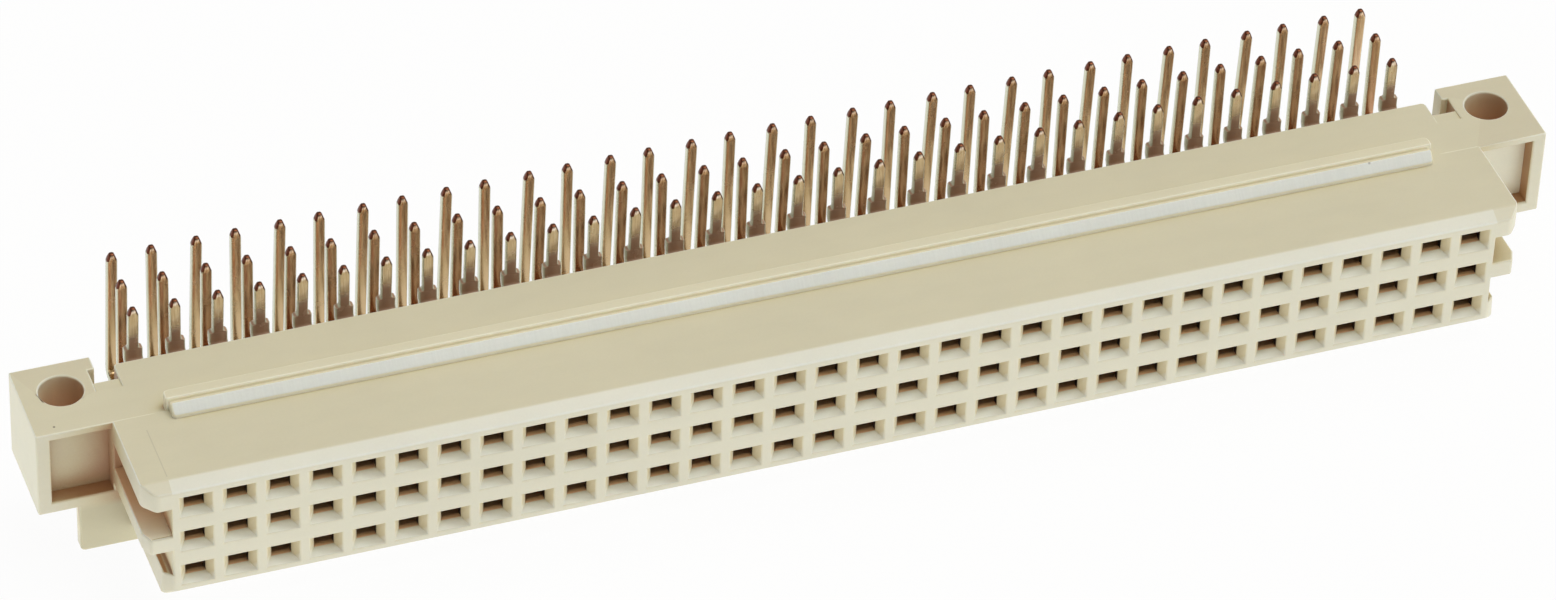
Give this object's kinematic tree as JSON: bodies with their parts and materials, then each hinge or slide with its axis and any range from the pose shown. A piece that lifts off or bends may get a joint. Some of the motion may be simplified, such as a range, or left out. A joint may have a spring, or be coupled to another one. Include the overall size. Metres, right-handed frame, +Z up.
{
  "type": "right-angle board connector",
  "caption": "Right-angle female board connector: a long moulded housing with three rows of sockets, two fixing ears and upright solder tails behind.",
  "frame": {"origin": "centre of the footprint, on the surface that the rear block stands on", "axes": "+X along the connector, +Y from the mating face to the solder tails, +Z up along the tails, towards the board"},
  "size_m": [0.0938, 0.0186, 0.0117],
  "materials": {
    "housing_plastic": "moulded, satin",
    "contact_metal": "stamped and plated, satin"
  },
  "bodies": {
    "root": {"housing": "housing_plastic", "contacts_a_01_02": "contact_metal", "contacts_a_03_04": "contact_metal", "contacts_a_05_06": "contact_metal", "contacts_a_07_08": "contact_metal", "contacts_a_09_10": "contact_metal", "contacts_a_11_12": "contact_metal", "contacts_a_13_14": "contact_metal", "contacts_a_15_16": "contact_metal", "contacts_a_17_18": "contact_metal", "contacts_a_19_20": "contact_metal", "contacts_a_21_22": "contact_metal", "contacts_a_23_24": "contact_metal", "contacts_a_25_26": "contact_metal", "contacts_a_27_28": "contact_metal", "contacts_a_29_30": "contact_metal", "contacts_a_31_32": "contact_metal", "contacts_b_01_02": "contact_metal", "contacts_b_03_04": "contact_metal", "contacts_b_05_06": "contact_metal", "contacts_b_07_08": "contact_metal", "contacts_b_09_10": "contact_metal", "contacts_b_11_12": "contact_metal", "contacts_b_13_14": "contact_metal", "contacts_b_15_16": "contact_metal", "contacts_b_17_18": "contact_metal", "contacts_b_19_20": "contact_metal", "contacts_b_21_22": "contact_metal", "contacts_b_23_24": "contact_metal", "contacts_b_25_26": "contact_metal", "contacts_b_27_28": "contact_metal", "contacts_b_29_30": "contact_metal", "contacts_b_31_32": "contact_metal", "contacts_c_01_02": "contact_metal", "contacts_c_03_04": "contact_metal", "contacts_c_05_06": "contact_metal", "contacts_c_07_08": "contact_metal", "contacts_c_09_10": "contact_metal", "contacts_c_11_12": "contact_metal", "contacts_c_13_14": "contact_metal", "contacts_c_15_16": "contact_metal", "contacts_c_17_18": "contact_metal", "contacts_c_19_20": "contact_metal", "contacts_c_21_22": "contact_metal", "contacts_c_23_24": "contact_metal", "contacts_c_25_26": "contact_metal", "contacts_c_27_28": "contact_metal", "contacts_c_29_30": "contact_metal", "contacts_c_31_32": "contact_metal"}
  },
  "joints": []
}
